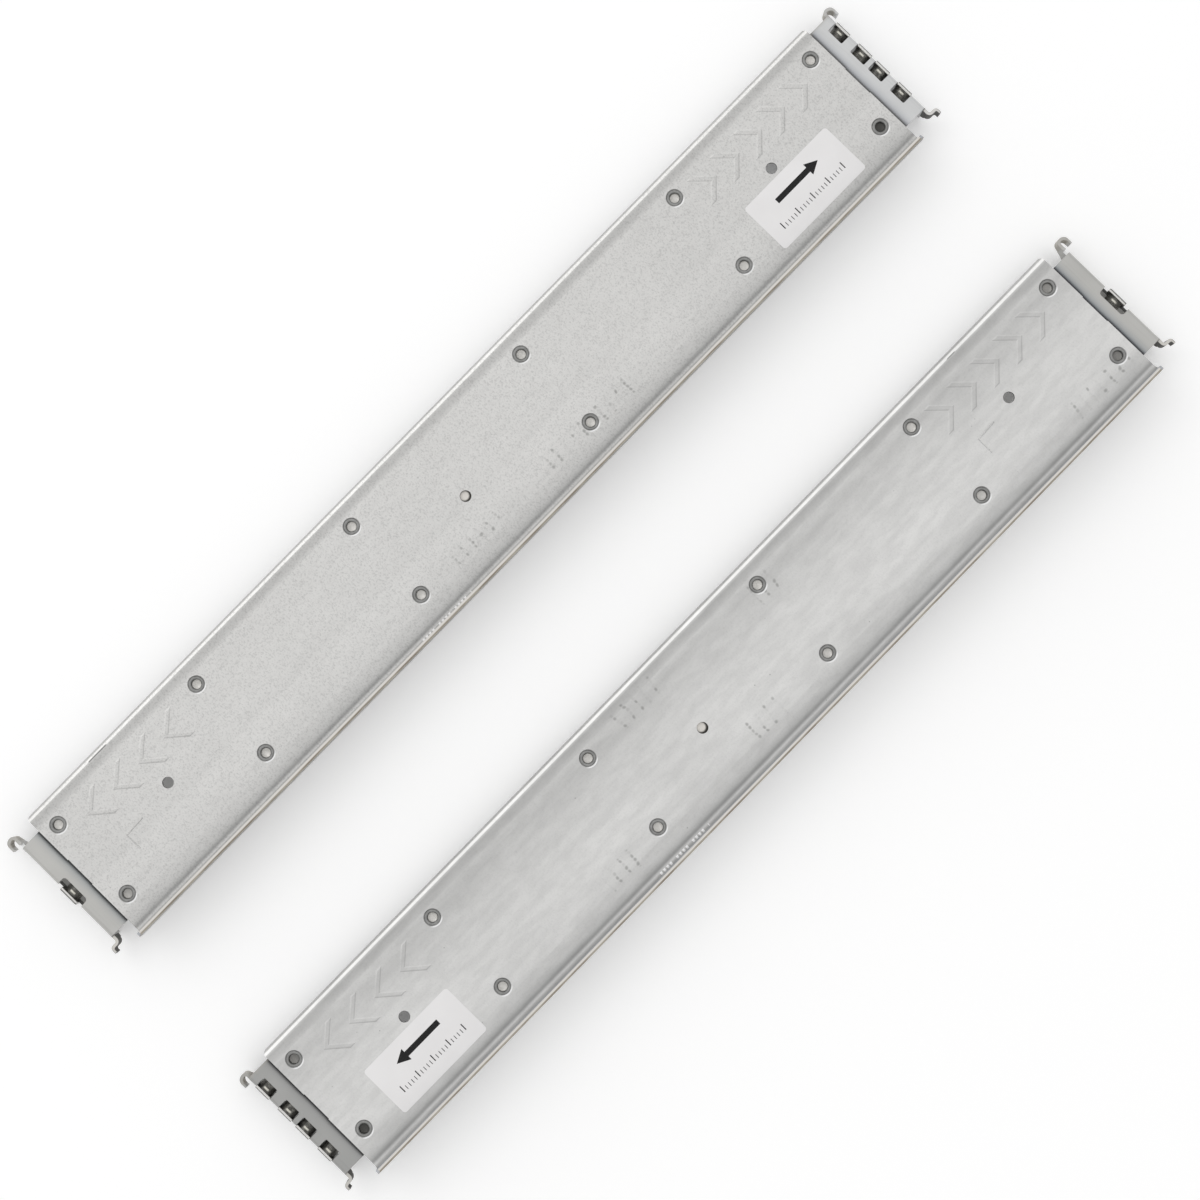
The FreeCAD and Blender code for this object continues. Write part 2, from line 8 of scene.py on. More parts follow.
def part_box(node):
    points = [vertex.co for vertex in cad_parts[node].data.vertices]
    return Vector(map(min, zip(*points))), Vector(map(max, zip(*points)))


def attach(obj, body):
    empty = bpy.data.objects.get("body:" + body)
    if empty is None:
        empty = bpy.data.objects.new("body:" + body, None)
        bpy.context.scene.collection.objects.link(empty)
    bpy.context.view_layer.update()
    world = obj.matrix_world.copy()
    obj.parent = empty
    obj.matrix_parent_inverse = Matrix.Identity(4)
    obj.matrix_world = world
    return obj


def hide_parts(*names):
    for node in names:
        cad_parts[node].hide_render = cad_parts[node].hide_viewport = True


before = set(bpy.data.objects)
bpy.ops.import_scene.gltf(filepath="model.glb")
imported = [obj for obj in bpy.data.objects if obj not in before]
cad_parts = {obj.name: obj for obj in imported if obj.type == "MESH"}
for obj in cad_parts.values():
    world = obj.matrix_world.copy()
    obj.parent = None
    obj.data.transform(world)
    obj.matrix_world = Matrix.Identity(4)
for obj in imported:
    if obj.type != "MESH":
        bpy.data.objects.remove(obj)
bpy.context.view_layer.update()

# Finishes of a pair of galvanised server rack rails.  Metres, in the frame of the solids: X along
# the rails, Y across them, Z up.  The right-hand rail lies at +Y with its front at +X.  Places
# across a rail are given from the middle between its two rows of rivets.

MM = 0.001
RAILS = {"right": 1, "left": -1}        # the sign is the way its front points along X


def middle_of(node):
    low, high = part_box(node)
    return (low + high) / 2


PANEL = {rail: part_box(rail + "_support_panel") for rail in RAILS}
PANEL_LENGTH = PANEL["right"][1].x - PANEL["right"][0].x
RIVET_BOX = {rail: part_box(rail + "_bracket_rivets") for rail in RAILS}
ROW_MIDDLE = {rail: middle_of(rail + "_bracket_rivets").y for rail in RAILS}
BUSH_TOP = middle_of("right_rear_nut").z + 4.55 * MM
FRONT_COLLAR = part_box("right_front_nuts")[1].x - 1.5 * MM   # back of the square collars, along the rail
REAR_COLLAR = -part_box("right_rear_nut")[0].x - 1.6 * MM
COUNTERSINK_EDGE = 4.4 * MM             # radius of a rivet's countersink
RIVET_PLACES = (62 * MM, 175 * MM, 275.3 * MM)  # along the panel, on both sides of its middle
RIVET_ROW = 25 * MM                     # above and below the middle
END_HOLES = (220.7 * MM, 0.0)           # sight holes: along the panel, on both sides, and across it
CENTRE_HOLE = (-10 * MM, -5.9 * MM)
HOOKS_ABOVE, HOOKS_BELOW = 34.9 * MM, -34.5 * MM    # the hooks lie beyond these, across a rail
RIVET_REACH = 4.8 * MM                  # radius of a rivet's outer head
RIVET_TOP, RIVET_BOTTOM = RIVET_BOX["right"][1].z, RIVET_BOX["right"][0].z
CREST = RIVET_TOP                       # top of the rolled rivet ends
FACE = CREST + 0.15 * MM                # equipment face of the panels
LEDGE_TIP = PANEL["right"][1].z


# --- node materials ------------------------------------------------------------------------------
class Paint:
    """A material with short calls for its nodes."""

    def __init__(self, name):
        self.material = bpy.data.materials.new(name)
        self.material.use_nodes = True
        self.tree = self.material.node_tree
        self.shader = self.tree.nodes["Principled BSDF"]
        self.place = self.node("ShaderNodeTexCoord").outputs["Object"]

    def node(self, kind, inputs=None, **settings):
        made = self.tree.nodes.new(kind)
        for key, value in settings.items():
            setattr(made, key, value)
        for key, value in (inputs or {}).items():
            self.put(made.inputs[key], value)
        return made

    def put(self, socket, value):
        if isinstance(value, bpy.types.NodeSocket):
            self.tree.links.new(value, socket)
        else:
            socket.default_value = value

    def set(self, **values):
        for key, value in values.items():
            self.put(self.shader.inputs[key.replace("_", " ")], value)

    def math(self, operation, a, b=0.0):
        return self.node("ShaderNodeMath", {0: a, 1: b}, operation=operation).outputs[0]

    def product(self, first, *others):
        for other in others:
            first = self.math("MULTIPLY", first, other)
        return first

    def distance(self, dx, dy):
        squares = self.math("ADD", self.math("POWER", dx, 2.0), self.math("POWER", dy, 2.0))
        return self.math("SQRT", squares)

    def stretched(self, scale, offset=(0, 0, 0)):
        inputs = {"Vector": self.place, "Location": offset, "Scale": scale}
        return self.node("ShaderNodeMapping", inputs).outputs[0]

    def noise(self, scale, detail=3.0, roughness=0.5, vector=None):
        inputs = {"Vector": vector or self.place, "Scale": scale, "Detail": detail, "Roughness": roughness}
        return self.node("ShaderNodeTexNoise", inputs).outputs["Fac"]

    def cells(self, scale, vector):
        """Distance from the nearest of many scattered points."""
        return self.node("ShaderNodeTexVoronoi", {"Vector": vector, "Scale": scale}).outputs["Distance"]

    def step(self, value, low, high, result_low=0.0, result_high=1.0):
        """Smooth change from one result to the other while the value goes from low to high."""
        inputs = {"Value": value, "From Min": low, "From Max": high,
                  "To Min": result_low, "To Max": result_high}
        return self.node("ShaderNodeMapRange", inputs, interpolation_type="SMOOTHSTEP").outputs["Result"]

    def band(self, value, start, end, edge):
        """1 between start and end, fading out over the edge width."""
        rise = self.step(value, start - edge, start)
        fall = self.step(value, end, end + edge, 1.0, 0.0)
        return self.product(rise, fall)

    def mix(self, amount, a, b, blend="MIX"):
        made = self.node("ShaderNodeMix", data_type="RGBA", blend_type=blend)
        self.put(made.inputs["Factor"], amount)
        self.put(made.inputs[6], a if isinstance(a, bpy.types.NodeSocket) else (*a, 1))
        self.put(made.inputs[7], b if isinstance(b, bpy.types.NodeSocket) else (*b, 1))
        return made.outputs[2]

    def xyz(self):
        split = self.node("ShaderNodeSeparateXYZ", {0: self.place})
        return split.outputs

    def normal_part(self, axis):
        """One part of the true surface direction."""
        direction = self.node("ShaderNodeNewGeometry").outputs["True Normal"]
        return self.node("ShaderNodeSeparateXYZ", {0: direction}).outputs[axis]

    def scaled(self, tone, factor):
        return self.node("ShaderNodeVectorMath", {0: tone, "Scale": factor}, operation="SCALE").outputs[0]

    def levels(self, value, stops):
        """Number that follows (place, level) stops along a value; levels may go up to 2."""
        start, end = stops[0][0], stops[-1][0]
        along = self.node("ShaderNodeMapRange", {"Value": value, "From Min": start, "From Max": end})
        ramp = self.node("ShaderNodeValToRGB", {0: along.outputs["Result"]})
        elements = ramp.color_ramp.elements
        for i, (place, level) in enumerate(stops):
            at = (place - start) / (end - start)
            stop = elements[i] if i < 2 else elements.new(at)
            stop.position = at
            stop.color = (level / 2, level / 2, level / 2, 1)
        return self.math("MULTIPLY", ramp.outputs["Color"], 2.0)

    def shelter(self, reach):
        """1 in the open, less in corners and under edges."""
        made = self.node("ShaderNodeAmbientOcclusion", {"Distance": reach}, samples=24)
        return made.outputs["AO"]

    def bump(self, height, distance, strength=1.0, under=None):
        inputs = {"Height": height, "Distance": distance, "Strength": strength}
        if under is not None:
            inputs["Normal"] = under
        return self.node("ShaderNodeBump", inputs).outputs["Normal"]


MARK_COLUMN, MARK_ROW = 6.3 * MM, 2.3 * MM      # steps between the dots of a handling mark


def marks(paint, x, across, patches):
    """Little blurred dots in short columns inside the patches, each (x0, x1, y0, y1) in metres."""
    inside = 0.0
    for x0, x1, y0, y1 in patches:
        area = paint.product(paint.band(x, x0, x1, 2 * MM), paint.band(across, y0, y1, 1 * MM))
        inside = paint.math("MAXIMUM", inside, area)
    wander = paint.noise(70.0, 2.0)
    column = paint.math("ADD", paint.math("DIVIDE", x, MARK_COLUMN), paint.math("MULTIPLY", wander, 0.9))
    row = paint.math("ADD", paint.math("DIVIDE", across, MARK_ROW), paint.math("MULTIPLY", wander, 1.3))
    cell = paint.node("ShaderNodeCombineXYZ", {0: paint.math("FLOOR", column), 1: paint.math("FLOOR", row)})
    chance = paint.node("ShaderNodeTexWhiteNoise", {"Vector": cell.outputs[0]}).outputs["Value"]
    dx = paint.math("MULTIPLY", paint.math("SUBTRACT", paint.math("FRACT", column), 0.5), MARK_COLUMN)
    dy = paint.math("MULTIPLY", paint.math("SUBTRACT", paint.math("FRACT", row), 0.5), MARK_ROW * 0.8)
    dots = paint.step(paint.distance(dx, dy), 0.25 * MM, 1.15 * MM, 1.0, 0.0)
    shown = paint.step(chance, 0.35, 0.75, 0.15, 1.0)
    return paint.product(dots, shown, inside)


def galvanised(name, rail, tint, grain, streak, levels, patches, scratch):
    """Hot-dip galvanised panel: grain, clouds, drawn streaks, handling marks, a bare cut along the ledge, a
    scratch in the upper edge, and painted shade and painted highlights across its width, on the ledge, in
    the holes, on the stamped strokes and at the rivets.
    """
    paint = Paint(name)
    x, y, z = paint.xyz()
    across = paint.math("SUBTRACT", y, ROW_MIDDLE[rail])
    cloud = paint.noise(9.0, 3.0, 0.55)
    drawn = paint.noise(1.0, 3.0, 0.6, paint.stretched((18, 140, 140)))
    speck = paint.noise(1.0, 2.0, 0.65, paint.stretched((1400, 1000, 900)))
    flake = paint.noise(1.0, 2.0, 0.5, paint.stretched((420, 560, 400), (0.3, 0, 0)))
    lumps = paint.noise(1.0, 3.0, 0.6, paint.stretched((70, 210, 100)))
    # The levels across the width hold painted shade beside the ledge and painted highlights in the ledge's
    # bend and along the upper edge.
    level = paint.product(
        paint.step(cloud, 0.3, 0.7, 0.975, 1.025),
        paint.step(drawn, 0.35, 0.7, 1 + streak, 1 - streak),
        paint.step(speck, 0.45, 0.72, 1 + grain * 0.3, 1 - grain),
        paint.step(flake, 0.5, 0.75, 1.0, 1 - grain * 0.25),
        paint.step(lumps, 0.32, 0.68, 1 + streak * 1.2, 1 - streak * 1.2),
        paint.levels(across, levels))
    tone = paint.scaled(tint, level)
    tone = paint.mix(paint.product(marks(paint, x, across, patches), 0.48), tone, (0.14, 0.14, 0.13))
    tone = pitted(paint, tone)
    tone = ledge_tone(paint, tone, across, z)
    x0, x1, y0, y1 = scratch
    scrape = paint.product(paint.band(x, x0, x1, 1.5 * MM), paint.band(across, y0, y1, 0.25 * MM))
    tone = paint.mix(paint.product(scrape, 0.8), tone, (0.10, 0.10, 0.10))
    tone = paint.mix(paint.product(stamped_row(paint, x, across), 0.75), tone, (0.95, 0.95, 0.95))
    # Painted shade: the walls of the holes in the web are painted nearly black.
    tone = paint.mix(paint.product(hole_walls(paint, x, across), 0.9), tone, (0.03, 0.03, 0.028))
    tone = paint.scaled(tone, stamped_painted_light(paint, across, z))
    tone = rivet_edges(paint, tone, x, across)
    relief = paint.math("ADD", paint.math("MULTIPLY", speck, 0.6), flake)
    normal = paint.bump(relief, 0.03 * MM, 0.6 * grain / 0.1)
    normal = paint.bump(lumps, 0.22 * MM, 12 * streak, normal)
    paint.set(Base_Color=tone, Roughness=paint.step(drawn, 0.3, 0.7, 0.50, 0.42))
    paint.set(Normal=normal, Metallic=0.5)
    return paint.material


def pitted(paint, tone):
    """A few dark pits, in loose groups."""
    pits = paint.cells(150.0, paint.stretched((1, 1, 1), (0.11, 0.07, 0)))
    few = paint.step(paint.noise(60.0, 0.0), 0.60, 0.66)
    dots = paint.product(paint.step(pits, 0.0, 0.075, 1.0, 0.0), few)
    return paint.mix(paint.product(dots, 0.7), tone, (0.12, 0.12, 0.12))


def hole_walls(paint, x, across):
    """1 on the upright walls of the holes in the web, where they are painted dark as painted shade."""
    upright = paint.math("ABSOLUTE", paint.normal_part("Z"))
    inner = paint.product(paint.band(across, -33 * MM, 33 * MM, MM), paint.band(x, -283 * MM, 283 * MM, MM))
    return paint.product(inner, paint.step(upright, 0.5, 0.9, 1.0, 0.0))


def rivet_edges(paint, tone, x, across):
    """Painted highlight as a bright crescent on the near side of each countersink, and painted shade as a
    dark crescent on the far side.
    """
    out = paint.math("ABSOLUTE", x)
    dx = 1.0
    for place in RIVET_PLACES:
        dx = paint.math("MINIMUM", dx, paint.math("ABSOLUTE", paint.math("SUBTRACT", out, place)))
    row = paint.math("MULTIPLY", paint.math("SIGN", across), RIVET_ROW)
    dy = paint.math("SUBTRACT", across, row)
    apart = paint.distance(dx, dy)
    near = paint.step(dy, -4.2 * MM, -2.2 * MM, 1.0, 0.0)
    bright = paint.product(paint.band(apart, COUNTERSINK_EDGE, COUNTERSINK_EDGE + 0.5 * MM, 0.3 * MM), near)
    far = paint.step(dy, 0.0, 3 * MM, 0.0, 0.35)
    dull = paint.product(paint.band(apart, COUNTERSINK_EDGE - 0.4 * MM, COUNTERSINK_EDGE, 0.3 * MM), far)
    # Painted highlight on the near side of each countersink, painted shade on its far side.
    tone = paint.mix(paint.product(bright, 0.85), tone, (0.97, 0.97, 0.97))
    return paint.mix(dull, tone, (0.10, 0.10, 0.10))


def stamped_painted_light(paint, across, z):
    """Stamped strokes: a painted highlight along their foot, the upper flank painted lighter and the lower
    flank darker, as painted light and shade.
    """
    inside = paint.band(across, -30 * MM, 30 * MM, MM)
    foot = paint.band(z, FACE + 0.01 * MM, FACE + 0.06 * MM, 0.02 * MM)
    flank = paint.band(z, FACE + 0.10 * MM, FACE + 0.36 * MM, 0.04 * MM)
    # Painted light and shade: flanks facing +Y lighter, flanks facing -Y darker.
    lean = paint.step(paint.normal_part("Y"), -0.35, 0.35, -0.15, 0.14)
    change = paint.math("ADD", paint.product(foot, 0.11), paint.product(flank, lean))
    return paint.math("ADD", 1.0, paint.product(inside, change))


def ledge_tone(paint, tone, across, z):
    """Ledge: its wall painted bluish grey with drawn streaks as painted reflection and shade, the upper half
    of its outer face darkened brown, partly painted shade and partly a stain, its bright tip, and the brown
    bare cut along its outer edge.
    """
    # Painted reflection and shade: the ledge's wall is painted bluish grey.
    rising = paint.step(z, FACE + 1.2 * MM, FACE + 2.5 * MM)
    wall = paint.product(rising, paint.step(across, -42 * MM, -41 * MM, 1.0, 0.0))
    streaks = paint.noise(1.0, 3.0, 0.6, paint.stretched((40, 40, 900)))
    drawn = paint.mix(paint.step(streaks, 0.35, 0.65), (0.42, 0.435, 0.46), (0.55, 0.56, 0.58))
    tone = paint.mix(wall, tone, drawn)
    # Upper half of the outer face: darkened brown, partly painted shade and partly a stain.
    upper_half = paint.step(z, LEDGE_TIP - 12 * MM, LEDGE_TIP - 6 * MM)
    outer = paint.product(upper_half, paint.step(across, -45.45 * MM, -45.2 * MM, 1.0, 0.0))
    tone = paint.mix(paint.product(outer, 0.7), tone, (0.27, 0.245, 0.21))
    tip = paint.step(z, LEDGE_TIP - 0.3 * MM, LEDGE_TIP - 0.12 * MM)
    bare = paint.noise(1.0, 3.0, 0.6, paint.stretched((60, 900, 60)))
    cut = paint.step(across, -44.85 * MM, -44.55 * MM, 1.0, 0.0)
    brown = paint.mix(paint.step(bare, 0.35, 0.65), (0.25, 0.215, 0.17), (0.42, 0.39, 0.33))
    rim = paint.mix(cut, (0.72, 0.695, 0.655), brown)
    return paint.mix(tip, tone, rim)


def stamped_row(paint, x, across):
    """A row of small stamped ticks in the bend of the ledge."""
    along = paint.math("MULTIPLY", x, 430.0)
    ticks = paint.step(paint.math("FRACT", along), 0.42, 0.5)
    gaps = paint.step(paint.math("FRACT", paint.math("MULTIPLY", x, 86.0)), 0.2, 0.24)
    along_bend = paint.band(x, -81 * MM, -43 * MM, 0.5 * MM)
    return paint.product(ticks, gaps, along_bend, paint.band(across, -43.2 * MM, -41.9 * MM, 0.15 * MM))


def plated(name, rail, tint, shade, dark):
    """Smooth zinc-plated sheet with rolling lines; painted shade and painted shadow beside and under the
    panel, painted light and shade on the edges and flanks of its hooks, painted shade in deep hollows, and a
    painted bright bottom in its bend relief.
    """
    paint = Paint(name)
    x, y, z = paint.xyz()
    across = paint.math("SUBTRACT", y, ROW_MIDDLE[rail])
    upward = paint.normal_part("Z")
    cloud = paint.noise(40.0, 3.0)
    lines = paint.noise(1.0, 3.0, 0.6, paint.stretched((900, 30, 900)))
    speck = paint.noise(1400.0, 1.0)
    level = paint.product(paint.step(cloud, 0.3, 0.7, 0.97, 1.03), paint.step(lines, 0.5, 0.8, 1.0, 0.92),
                          paint.step(speck, 0.7, 0.85, 1.0, 0.9))
    tone = paint.scaled(tint, level)
    shaded = [colour * part for colour, part in zip(tint, shade)]
    # Painted shade and shadow on the upward faces of the plate near the panel.
    near = plate_painted_shade(paint, tone, (x, across, z), shaded, dark)
    tone = paint.mix(paint.step(upward, 0.7, 0.95), tone, near)
    hooks = paint.math("MAXIMUM", paint.step(across, HOOKS_ABOVE - 2 * MM, HOOKS_ABOVE),
                       paint.step(across, HOOKS_BELOW, HOOKS_BELOW + 0.2 * MM, 1.0, 0.0))
    flank = paint.product(hooks, paint.step(paint.math("ABSOLUTE", upward), 0.35, 0.8, 1.0, 0.0))
    # Painted light and shade on the hooks: the lower hooks get light edges and nearly black flanks, the
    # upper hooks darker edges and light flanks.
    side = paint.step(across, -20 * MM, 20 * MM)
    edges = paint.mix(side, (0.76, 0.73, 0.68), (0.42, 0.405, 0.37))
    tone = paint.mix(paint.product(hooks, 0.5), tone, edges)
    flanks = paint.mix(side, (0.045, 0.044, 0.04), (0.58, 0.555, 0.51))
    tone = paint.mix(paint.product(flank, 0.85), tone, flanks)
    # Painted shade: upward faces deep in the notches and windows are painted nearly black.
    sunk_painted_shade = paint.product(paint.band(z, FACE - 12 * MM, FACE - 4.1 * MM, 0.3 * MM),
                         paint.step(upward, 0.4, 0.8), paint.band(across, HOOKS_BELOW, 29 * MM, 0.3 * MM))
    tone = paint.mix(paint.product(sunk_painted_shade, 0.9), tone, (0.05, 0.05, 0.047))
    dull = paint.math("MAXIMUM", flank, sunk_painted_shade)
    # Painted light: the closed bottom of the bend relief is painted bright, as if lit floor showed through
    # it.
    relief = paint.product(paint.band(z, FACE - 7.4 * MM, FACE - 6.6 * MM, 0.2 * MM),
                           paint.band(across, 29.9 * MM, 32.1 * MM, 0.1 * MM), paint.step(upward, 0.7, 0.95))
    tone = paint.mix(relief, tone, (0.95, 0.95, 0.95))
    sheen = paint.step(cloud, 0.3, 0.7, 0.40, 0.32)
    paint.set(Base_Color=tone, Roughness=paint.math("MAXIMUM", sheen, paint.product(dull, 0.85)))
    paint.set(Normal=paint.bump(paint.math("ADD", lines, speck), 0.008 * MM, 0.5))
    paint.set(Metallic=paint.product(paint.math("SUBTRACT", 1.0, dull), 0.6))
    return paint.material


def plate_painted_shade(paint, tone, place, shaded, dark):
    """Top of a plate: painted shade beside and under the panel, a dark painted shadow right under its edge
    and in corners, and painted light with a painted shadow along one side under the sight holes.
    """
    x, across, z = place
    out = paint.math("ABSOLUTE", x)
    shelter = paint.shelter(5.5 * MM)
    # Painted shade where the plate is sheltered, over the whole part under the panel and a strip beside its
    # end.
    near = paint.mix(paint.step(shelter, 0.66, 0.98), shaded, tone)
    beside = paint.step(out, PANEL_LENGTH / 2 - MM, PANEL_LENGTH / 2 + 7 * MM, 0.8, 0.0)
    near = paint.mix(beside, near, shaded)
    # Painted shadow: nearly black where the plate is most sheltered.
    near = paint.mix(paint.step(shelter, 0.70, 0.94), dark, near)
    near = paint.mix(paint.step(z, FACE - 4.5 * MM, FACE - 3.5 * MM), tone, near)
    near = hole_painted_light(paint, near, (out, across), END_HOLES, (0.60, 0.54, 0.46))
    return hole_painted_light(paint, near, (x, across), CENTRE_HOLE, (0.80, 0.77, 0.72))


def hole_painted_light(paint, tone, place, hole, light):
    """Sheet seen through a sight hole painted a light colour as painted light, with a painted shadow along
    one side.
    """
    dx = paint.math("SUBTRACT", place[0], hole[0] - 0.3 * MM)
    dy = paint.math("SUBTRACT", place[1], hole[1] + 0.8 * MM)
    apart = paint.distance(dx, dy)
    seen = paint.mix(paint.step(apart, 1.9 * MM, 3.0 * MM), light, (0.05, 0.047, 0.04))
    return paint.mix(paint.step(apart, 4.5 * MM, 5.0 * MM), seen, tone)


# Rivets whose hollow bottom is painted dark: rail, end of the rail, row, and how dark.
DARK_HOLLOW_RIVETS = (("right", 1, -1, 1.0), ("right", -1, -1, 0.35), ("left", -1, -1, 1.0),
                  ("left", -1, 1, 0.7), ("left", 1, -1, 0.7), ("left", 1, 1, 0.55))


def rolled_steel(name):
    """Rolled rivet ends: grey and worked, lighter at the bottom of the hollow, dark in some of them."""
    paint = Paint(name)
    x, y, z = paint.xyz()
    fine = paint.noise(2600.0, 2.0)
    stain = paint.noise(330.0, 3.0, 0.6)
    rings = paint.noise(1.0, 1.0, 0.5, paint.stretched((900, 900, 5200)))
    body = paint.mix(paint.step(stain, 0.35, 0.65), (0.235, 0.235, 0.23), (0.12, 0.12, 0.115))
    body = paint.mix(paint.step(rings, 0.45, 0.7, 0.0, 0.5), body, (0.10, 0.10, 0.10))
    dark = 0.0
    for rail, end, row, amount in DARK_HOLLOW_RIVETS:
        middle = ROW_MIDDLE[rail] + row * RIVET_ROW
        at_row = paint.band(y, middle - 8 * MM, middle + 8 * MM, MM)
        at_end = paint.step(paint.math("MULTIPLY", x, end), 240 * MM, 241 * MM, 0.0, amount)
        dark = paint.math("MAXIMUM", dark, paint.product(at_row, at_end))
    bottom = paint.mix(paint.step(stain, 0.3, 0.7), (0.62, 0.61, 0.58), (0.74, 0.72, 0.69))
    bottom = paint.mix(dark, bottom, (0.07, 0.069, 0.064))
    deep = paint.step(z, CREST - 2.2 * MM, CREST - 1.5 * MM, 1.0, 0.0)
    above = paint.step(z, RIVET_BOTTOM + 2.2 * MM, RIVET_BOTTOM + 2.3 * MM)
    # Painted highlight: a lighter line along the crest of the rolled ends.
    crest = paint.step(z, CREST - 0.12 * MM, CREST - 0.02 * MM)
    body = paint.mix(paint.product(crest, 0.4), body, (0.42, 0.42, 0.41))
    tone = paint.mix(paint.product(deep, above), body, bottom)
    paint.set(Base_Color=tone, Roughness=paint.step(fine, 0.3, 0.7, 0.30, 0.44), Metallic=0.6)
    paint.set(Normal=paint.bump(paint.math("ADD", fine, stain), 0.05 * MM, 0.6))
    return paint.material


def bush_steel(name, collar_face, lit_rim_width, sides):
    """Dark threaded bush; its square collar painted light along a rim and darker beyond it, as painted light
    and shade, and one painted highlight on its barrel.
    """
    paint = Paint(name)
    x, _, z = paint.xyz()
    out = paint.math("ABSOLUTE", x)
    fine = paint.noise(2600.0, 2.0)
    stain = paint.noise(420.0, 3.0)
    tone = paint.mix(paint.step(stain, 0.4, 0.7), (0.075, 0.073, 0.066), (0.17, 0.165, 0.15))
    # Painted highlight: one bright spot on the top of the barrel.
    crown = paint.step(z, BUSH_TOP - 0.45 * MM, BUSH_TOP - 0.05 * MM)
    spot = collar_face - 1.9 * MM
    barrel_highlight = paint.product(crown, paint.band(out, spot - 0.2 * MM, spot + 0.2 * MM, 0.55 * MM))
    tone = paint.mix(barrel_highlight, tone, (0.66, 0.64, 0.57))
    # Painted light and shade on the collar: light along its rim, darker beyond it.
    collar = paint.step(out, collar_face, collar_face + 0.05 * MM)
    split = collar_face + lit_rim_width
    rim = paint.mix(paint.step(out, split, split + 0.15 * MM), (0.72, 0.71, 0.69), sides)
    stained = paint.mix(paint.step(stain, 0.4, 0.8, 0.0, 0.3), rim, (0.4, 0.39, 0.37))
    tone = paint.mix(collar, tone, stained)
    paint.set(Base_Color=tone, Roughness=paint.step(fine, 0.3, 0.7, 0.22, 0.34), Metallic=0.6)
    paint.set(Normal=paint.bump(fine, 0.02 * MM, 0.6))
    return paint.material


def paper(name):
    """Slightly shiny white label paper."""
    paint = Paint(name)
    fibre = paint.noise(900.0, 3.0, 0.6)
    cloud = paint.noise(45.0, 2.0)
    tone = paint.mix(paint.step(cloud, 0.3, 0.7), (0.84, 0.827, 0.825), (0.87, 0.857, 0.855))
    tone = paint.mix(paint.step(fibre, 0.6, 0.8, 0.0, 0.3), tone, (0.79, 0.78, 0.775))
    paint.set(Base_Color=tone, Roughness=paint.step(fibre, 0.3, 0.7, 0.42, 0.52))
    paint.set(Normal=paint.bump(fibre, 0.02 * MM, 0.4))
    return paint.material


def ink(name):
    """Black print with a fine uneven grain."""
    paint = Paint(name)
    grain = paint.noise(1500.0, 2.0)
    tone = paint.mix(paint.step(grain, 0.4, 0.7), (0.008, 0.008, 0.008), (0.022, 0.022, 0.022))
    paint.set(Base_Color=tone, Roughness=paint.step(grain, 0.3, 0.7, 0.55, 0.7))
    paint.set(Specular_IOR_Level=0.25)
    return paint.material


def in_mm(*areas):
    return [tuple(v * MM for v in area) for area in areas]


def in_mm_levels(*stops):
    return [(place * MM, level) for place, level in stops]


# How light the panels are across their width, from the ledge to the upper edge: place in mm, level. Beside
# the ledge these levels are painted shade with a painted highlight line in its bend, and along the upper
# edge they are a painted highlight.
LEDGE_SHADE_AND_HIGHLIGHT = ((-46, 0.70), (-42.2, 0.74), (-41.7, 0.90), (-41.1, 0.92), (-40.4, 0.62), (-40.0, 0.56),
              (-39.4, 0.61), (-38.5, 0.77), (-37, 0.875), (-35, 0.94), (-31, 0.99))
UPPER_EDGE_HIGHLIGHT = ((36.0, 0.95), (36.3, 1.5), (37.5, 1.5), (37.8, 0.86), (39, 0.78))
RIGHT_LEVELS = in_mm_levels(*LEDGE_SHADE_AND_HIGHLIGHT, (-28, 0.98), (-18, 1.03), (-11, 1.03), (-8, 0.99), (0, 1.01),
                            (30, 1.01), (31.5, 0.95), (32.5, 0.86), (34.9, 0.83), *UPPER_EDGE_HIGHLIGHT)
LEFT_LEVELS = in_mm_levels(*LEDGE_SHADE_AND_HIGHLIGHT, (-20, 1.06), (-10, 1.05), (4, 1.0), (16, 0.92), (25, 0.83),
                           (30, 0.90), (32.5, 0.78), (34.9, 0.74), *UPPER_EDGE_HIGHLIGHT)
# Where handling marks lie, and one scratch in each upper edge: x0, x1, y0, y1 in mm.
RIGHT_MARKS = in_mm((-36, -6, -29, -22), (30, 58, -29, -20), (66, 92, -30, -21))
LEFT_MARKS = in_mm((-40, -9, 22, 32), (238, 282, -34, -25), (6, 26, -31, -20), (58, 70, 16, 28),
                   (-100, -78, -32, -22))
RIGHT_SCRATCH, LEFT_SCRATCH = in_mm((-241, -230, 36.1, 36.5), (213.5, 217.5, 36.15, 36.35))

PANEL_FINISH = {
    "right": galvanised("galvanised sheet, grainy", "right", (0.615, 0.610, 0.597), 0.17, 0.014,
                        RIGHT_LEVELS, RIGHT_MARKS, RIGHT_SCRATCH),
    "left": galvanised("galvanised sheet, drawn", "left", (0.625, 0.622, 0.612), 0.05, 0.036,
                       LEFT_LEVELS, LEFT_MARKS, LEFT_SCRATCH),
}
